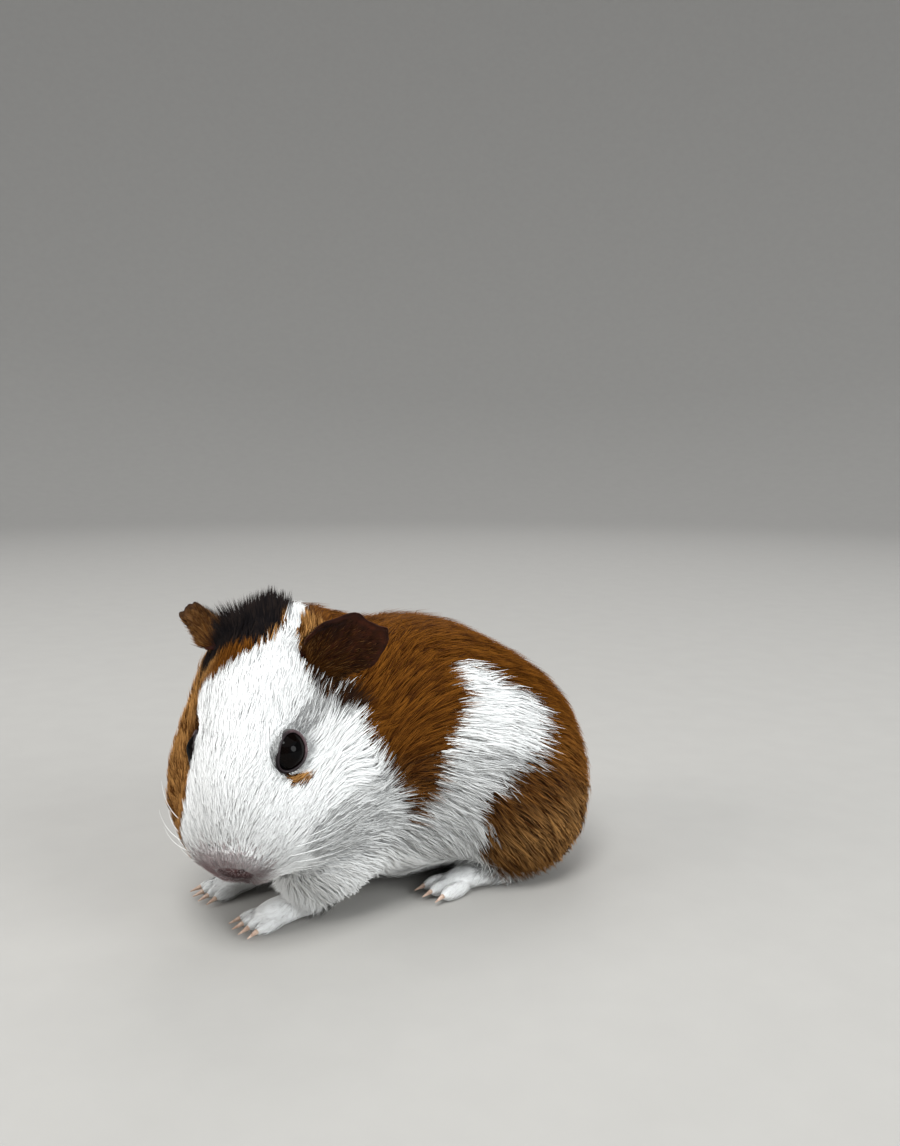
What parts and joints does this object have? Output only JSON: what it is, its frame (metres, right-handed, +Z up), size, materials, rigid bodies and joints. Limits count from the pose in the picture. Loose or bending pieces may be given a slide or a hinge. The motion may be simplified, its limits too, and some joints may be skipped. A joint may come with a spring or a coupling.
{
  "type": "guinea pig",
  "caption": "Still life-size model of a young smooth-coated tricolour guinea pig, standing with its head lowered and turned to its left.",
  "frame": {"origin": "on the floor, under the middle of the animal's box", "axes": "the animal faces -Y, its left side is +X, +Z is up"},
  "size_m": [0.0824, 0.132, 0.0844],
  "materials": {
    "coat_ginger": "short soft ginger fur lying flat",
    "coat_white": "short soft white fur lying flat",
    "skin": "thin bare skin with a soft sheen",
    "eye": "wet and glossy, nearly black",
    "claw": "pale translucent horn"
  },
  "bodies": {
    "root": {"head": "coat_white", "neck": "coat_ginger", "trunk": "coat_ginger", "rump": "coat_ginger", "foreleg_left": "coat_white", "foreleg_right": "coat_white", "hindleg_left": "coat_ginger", "hindleg_right": "coat_ginger", "ear_left": "skin", "ear_right": "skin", "eye_left": "eye", "eye_right": "eye", "claw_fore_left_1": "claw", "claw_fore_left_2": "claw", "claw_fore_left_3": "claw", "claw_fore_left_4": "claw", "claw_fore_right_1": "claw", "claw_fore_right_2": "claw", "claw_fore_right_3": "claw", "claw_fore_right_4": "claw", "claw_hind_left_1": "claw", "claw_hind_left_2": "claw", "claw_hind_left_3": "claw", "claw_hind_right_1": "claw", "claw_hind_right_2": "claw", "claw_hind_right_3": "claw"}
  },
  "joints": []
}
